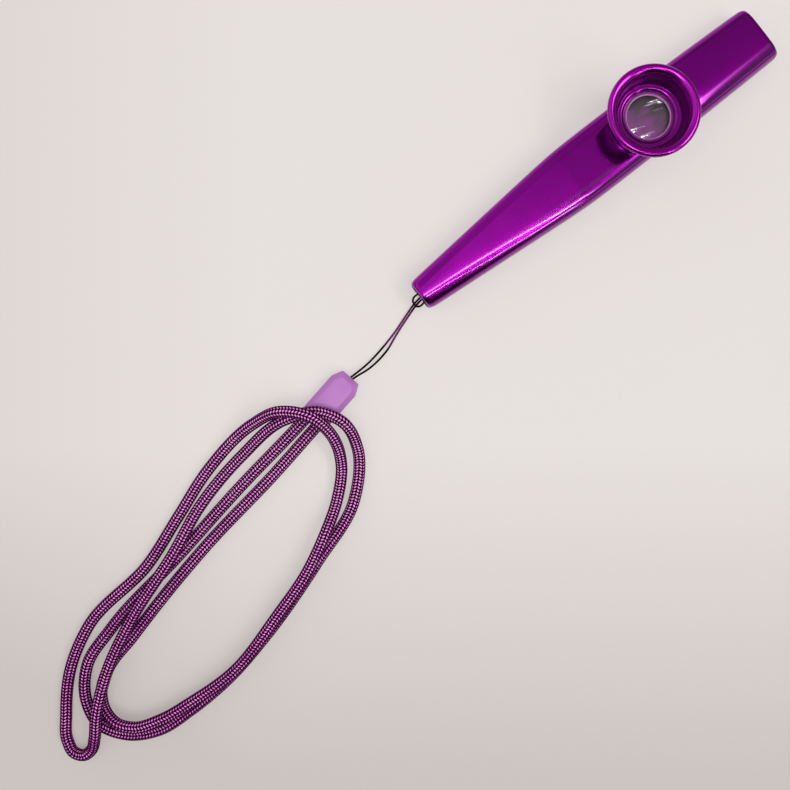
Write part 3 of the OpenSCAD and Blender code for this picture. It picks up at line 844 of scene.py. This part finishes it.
def film():
    """The film, drawn taut in its ring, with a few creases that run one way."""
    r = np.linspace(FILM_HOLE_R, FRAME_R - FILM_PLAY, FILM_RINGS)[:, None]
    a = 2 * math.pi * np.arange(FILM_SIDES) / FILM_SIDES
    x, y = r * np.cos(a), r * np.sin(a)
    right, up = (x * way[0] + y * way[1] for way in (PICTURE_RIGHT, PICTURE_UP))
    lean_x, lean_y = math.cos(CREASE_LEAN), math.sin(CREASE_LEAN)
    lift, highlight = np.zeros_like(x), np.zeros_like(x)
    for middle_right, middle_up, half, width, height, pale in CREASES:
        along = (right - middle_right) * lean_x + (up - middle_up) * lean_y
        across = (up - middle_up) * lean_x - (right - middle_right) * lean_y
        lift += height * ridge(across, along, width, half)
        # the painted highlight along the crease
        highlight += pale * ridge(across, along + HIGHLIGHT_BACK * half, width / HIGHLIGHT_NARROW, half / HIGHLIGHT_SHORT)
    inward = FRAME_BORE_R - r
    lift *= share(inward, *CREASE_FREE)
    highlight = np.clip(highlight * share(inward, *HIGHLIGHT_FREE), 0, 1)
    shade_side = SHADE_MIDDLE + SHADE_RISE * (up + SHADE_RIGHT * right)
    shade = share(inward, *SHADE_IN) * np.clip(shade_side, SHADE_LEAST, 1)
    top, low = (
        np.stack([NECK_X + x, y, z + lift], axis=2).reshape(-1, 3)
        for z in (FILM_Z + FILM_T - FILM_CLEAR, FILM_Z + FILM_CLEAR))
    faces = band(2 * FILM_RINGS, FILM_SIDES, True).tolist()
    piece = make("film", np.vstack([top, low[::-1]]), faces, [filmed("film")])
    highlight, shade = (np.concatenate([part.ravel(), part.ravel()[::-1]]) for part in (highlight, shade))
    # the point colours carry the painted highlight in red and blue, and the rim's painted shade in green
    layer = piece.data.color_attributes.new("crease", "FLOAT_COLOR", "POINT")
    layer.data.foreach_set("color", np.stack([highlight, shade, highlight, np.ones_like(highlight)], axis=1).ravel())
    return piece


def film_ring():
    """The flat ring that holds the film, with a rounder edge over its bore."""
    low, high = FILM_Z + FILM_T, FILM_Z + FILM_T + FRAME_T - FILM_CLEAR
    outline = rounded([
        (FRAME_BORE_R, low, 0.12), (FRAME_R, low, 0.15), (FRAME_R, high, 0.2), (FRAME_BORE_R, high, 0.3)],
        steps=6)
    verts, faces = revolve(outline, sides=144)
    return make("film_ring", verts, faces.tolist(), [pale_ring("frame_ring")], sharp=60)


# Clamp and knot
def on_clamp(along, across, z):
    """A place by its distance from the clamp's tip, its distance across, and its height over the table."""
    way = (math.cos(CLAMP_TURN), math.sin(CLAMP_TURN))
    return (
        CLAMP_TIP[0] + along * way[0] - across * way[1],
        CLAMP_TIP[1] + along * way[1] + across * way[0],
        z,
    )


def clamp_plan(inset):
    """The clamp's six corners, drawn in by the inset."""
    half, tip = CLAMP_W / 2 - inset, CLAMP_TIP_W / 2 - inset
    return [
        (inset, -tip), (CLAMP_SHOULDER, -half), (CLAMP_L - inset, -half),
        (CLAMP_L - inset, half), (CLAMP_SHOULDER, half), (inset, tip)]


def hollow(outline, start, end):
    """A tool for a cut along the clamp, with an outline of (across, up) from its middle height."""
    near, far = ([on_clamp(along, y, CLAMP_T / 2 + z) for y, z in outline] for along in (start, end))
    return between(near, far)


def box(size):
    """The corners of a rectangle about the middle."""
    return [(x * size[0] / 2, y * size[1] / 2) for x, y in ((-1, -1), (1, -1), (1, 1), (-1, 1))]


def pocket_outline(sides=48):
    """An outline round both cord ends, which lie side by side."""
    angles = [2 * math.pi * (k + 0.5) / sides for k in range(sides)]
    return [
        (math.copysign(CORD_HALF_PITCH, math.cos(a)) + POCKET_R * math.cos(a), POCKET_R * math.sin(a))
        for a in angles]


def clamp_block():
    """The bevelled clamp, with a pocket for the cord, a slot for the string and a cell for its knot."""
    work = bmesh.new()
    levels = ((0, CLAMP_EDGE), (CLAMP_EDGE, 0), (CLAMP_T - CLAMP_TOP_FALL, 0), (CLAMP_T, CLAMP_TOP_INSET))
    for z, inset in levels:
        for along, across in clamp_plan(inset):
            work.verts.new(Vector(on_clamp(along, across, z)) * MM)
    bmesh.ops.convex_hull(work, input=list(work.verts))
    bmesh.ops.dissolve_limit(
        work, angle_limit=math.radians(2), verts=list(work.verts), edges=list(work.edges))
    bmesh.ops.bevel(
        work, geom=list(work.edges), offset=CLAMP_BEVEL * MM, segments=4, profile=0.5, affect="EDGES",
        clamp_overlap=True)
    mesh = bpy.data.meshes.new("clamp")
    work.to_mesh(mesh)
    work.free()
    mesh.materials.append(moulded("clamp_plastic"))
    pocket = hollow(pocket_outline(), CLAMP_L - POCKET_L, CLAMP_L + 1)
    slot = hollow(box(STRING_SLOT), -1, CLAMP_SHOULDER)
    cell = hollow(box(KNOT_CELL), CLAMP_SHOULDER - KNOT_CELL_L / 2, CLAMP_SHOULDER + KNOT_CELL_L / 2)
    return cut(placed("clamp", mesh), pocket, slot, cell, sharp=35)


def knot(rings=18, sides=24):
    """The knot that holds the string in the clamp, as a ball with twisted lobes."""
    a = math.pi * np.arange(rings + 1)[:, None] / rings
    b = 2 * math.pi * np.arange(sides) / sides
    r = KNOT_D / 2 * (1 - KNOT_DEPTH + KNOT_DEPTH * np.cos(KNOT_LOBES * b + KNOT_TWIST * a))
    offset = np.stack([r * np.cos(a), r * np.sin(a) * np.cos(b), r * np.sin(a) * np.sin(b)], axis=2)
    verts = (KNOT_AT + offset).reshape(-1, 3)
    return make("string_knot", verts, band(rings + 1, sides, False).tolist(), [twisted("string_knot")])


for piece, body, slot, nodes in (
    (kazoo_shell(), "kazoo", "body_metal", ["kazoo_body"]),
    (resonator(), "resonator", "cup_metal", ["resonator_cup"]),
    (film(), "membrane_cartridge", "film", ["membrane_film"]),
    (film_ring(), "membrane_cartridge", "frame_ring", ["membrane_frame"]),
    (clamp_block(), "kazoo", "clamp_plastic", ["cord_clamp"]),
    (knot(), "kazoo", "string", []),
):
    if nodes:
        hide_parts(*nodes)
    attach(piece, body)

# the neck and the crimp band keep their solids
for node, material in (("turret_neck", NECK_PURPLE), ("crimp_band", brushed("band_metal"))):
    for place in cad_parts[node].material_slots:
        place.material = material


# Table
TABLE_Z, TABLE_HALF = -0.03, 3000
TABLE_LIGHT, TABLE_DARK, DARKEST_AT = (0.81, 0.765, 0.743), (0.605, 0.555, 0.528), 1.2 / 1.3
# painted shade: metres down the picture and to its left over which the table is painted darker, and its share
# of darkening to the left
DARKER_DOWN, DARKER_LEFT, LEFT_SHARE = (0.015, 0.115), (0.04, 0.115), 0.3
# how much of what is seen of it is a painted glow in its own plain tone, which keeps shadows faint, and how
# much of that a reflection shows
PAINTED_GLOW, REFLECTED_GLOW = 0.55, 0.4


def table_paint():
    """A pale matt table, with painted shade that darkens it a little toward the lower left of the picture.
    What is seen of it is partly a painted glow of its own pale tone, so that shadows stay faint."""
    p = Paint("table")
    place = p.where()
    off = [p.less(p.axis(place, name), at * MM) for name, at in zip("XY", CAMERA_AT)]
    down, left = (
        p.total(*[p.times(distance, -part) for distance, part in zip(off, way)])
        for way in (PICTURE_UP, PICTURE_RIGHT))
    # painted shade toward the lower left of the picture
    darker = p.total(p.span(down, DARKER_DOWN, (0.0, 1.0)), p.span(left, DARKER_LEFT, (0.0, LEFT_SHARE)))
    pale = p.ramp(darker, (0.0, TABLE_LIGHT), (DARKEST_AT, TABLE_DARK))
    p.set(Base_Color=pale, Roughness=0.62)
    rays = p.node("ShaderNodeLightPath").outputs
    seen = p.most(
        rays["Is Camera Ray"], rays["Is Transmission Ray"], p.times(rays["Is Glossy Ray"], REFLECTED_GLOW))
    # a painted glow in the table's own tone, which keeps shadows faint
    plain = p.node("ShaderNodeEmission", {"Color": pale}).outputs["Emission"]
    mixed = p.node("ShaderNodeMixShader", {0: p.times(seen, PAINTED_GLOW), 1: p.shader.outputs["BSDF"], 2: plain})
    p.put(p.tree.nodes["Material Output"].inputs["Surface"], mixed.outputs["Shader"])
    return p.material


corners = [(x * TABLE_HALF, y * TABLE_HALF, TABLE_Z) for x, y in ((-1, -1), (1, -1), (1, 1), (-1, 1))]
table = make("table", corners, [[0, 1, 2, 3]], [table_paint()])


# The room's light, drawn over two angles from straight up, in degrees: east toward the mouth end, and south
# toward the lower right of the picture. Two angles are where a change starts and ends, and four are where a
# light starts, is full, begins to fade and ends.
world = bpy.data.worlds.new("room")
bpy.context.scene.world = world
world.use_nodes = True
sky = Nodes(world.node_tree)
way = sky.node("ShaderNodeSeparateXYZ", {"Vector": sky.where("Generated")}).outputs
east = sky.math("DEGREES", sky.math("ARCTAN2", way["X"], way["Z"]))
south = sky.math("DEGREES", sky.math("ARCTAN2", sky.times(way["Y"], -1.0), way["Z"]))

# levels of the room, of its ceiling's parts, of the glow at the horizon, and of what the camera sees behind
ROOM, HORIZON, BEHIND = 0.24, 0.3, 0.78
CEILING, CEILING_NEAR, CEILING_TAIL, CEILING_EDGE = 0.12, 0.14, 0.5, 0.1
# how much the ceiling's beam and the dark past the second lamp take away
BEAM_DEPTH, DARK_DEPTH = 0.3, 0.88
WORLD_COLOUR = (1.0, 0.99, 0.98, 1)


def ceiling():
    """The ceiling, brightest toward the tail end, with a darker beam across it."""
    far = sky.most(sky.step(south, -46.0, -32.0), sky.step(east, -12.0, -24.0))
    level = sky.total(
        CEILING,
        sky.times(CEILING_NEAR, sky.step(east, 22.0, 12.0)),
        sky.times(CEILING_TAIL, sky.step(east, 10.0, -1.0), far),
        sky.times(CEILING_EDGE, sky.step(south, -36.0, -46.0)))
    beam = sky.less(1.0, sky.times(BEAM_DEPTH, sky.window(south, -46.0, -40.0, -36.0, -31.0)))
    return sky.times(
        level, beam, sky.window(south, -115.0, -88.0, 4.0, 12.0),
        sky.window(east, -75.0, -45.0, 35.0, 60.0))


def bending(start, *bends):
    """How far south a direction lies of a line that starts at an angle and has bends of (turn, from, to)."""
    line = sky.total(start, *[sky.times(turn, sky.step(east, *edges)) for turn, *edges in bends])
    return sky.less(south, line)


def lamp(level, line, width, length, brighter=()):
    """A lamp with a width across a line and a length to the east, brighter on stretches of (more, window)."""
    bright = sky.total(level, *[sky.times(more, sky.window(east, *edges)) for more, edges in brighter])
    return sky.times(bright, sky.window(line, *width), sky.window(east, *length))


# two lamp tubes on the lower right side, the first with a halo, and a patch of light toward the mouth end
first = bending(6.0, (34.0, 0.5, 6.5), (8.0, 8.0, 20.0))
second = bending(22.0, (26.0, -2.4, 0.6), (11.0, 0.0, 6.0), (14.0, 6.0, 22.0))
strip = lamp(
    level=9.0, line=first, width=(-4.0, -1.8, 1.8, 4.0), length=(-28.0, -16.0, 14.0, 20.0),
    brighter=[(17.0, (0.0, 2.0, 7.0, 10.0))])
halo = lamp(level=1.1, line=first, width=(-16.0, -2.0, 0.0, 4.0), length=(-25.0, -12.0, 1.0, 6.0))
thin = lamp(
    level=0.8, line=second, width=(-3.0, -1.3, 1.3, 3.0), length=(-20.0, -10.0, 72.0, 80.0),
    brighter=[(8.0, (-20.0, -10.0, 9.0, 14.0)), (6.0, (-3.0, -2.0, 0.0, 1.5))])
patch = lamp(
    level=2.5, line=south, width=(1.0, 9.0, 34.0, 42.0), length=(18.5, 21.0, 32.0, 37.0),
    brighter=[(7.0, (18.5, 21.0, 26.5, 30.0))])
dark = sky.less(1.0, sky.times(DARK_DEPTH, sky.step(second, 5.0, 16.0)))
horizon = sky.times(HORIZON, sky.step(way["Z"], 0.2, 0.05))
light = sky.total(horizon, sky.times(dark, sky.total(ROOM, ceiling(), strip, halo, thin, patch)))
# straight from the camera the room is one pale tone
seen = sky.node("ShaderNodeLightPath").outputs["Is Camera Ray"]
light = sky.total(sky.times(light, sky.less(1.0, seen)), sky.times(BEHIND, seen))
ground = world.node_tree.nodes["Background"]
ground.inputs["Color"].default_value = WORLD_COLOUR
sky.put(ground.inputs["Strength"], light)

bpy.context.scene.view_settings.view_transform = "Standard"
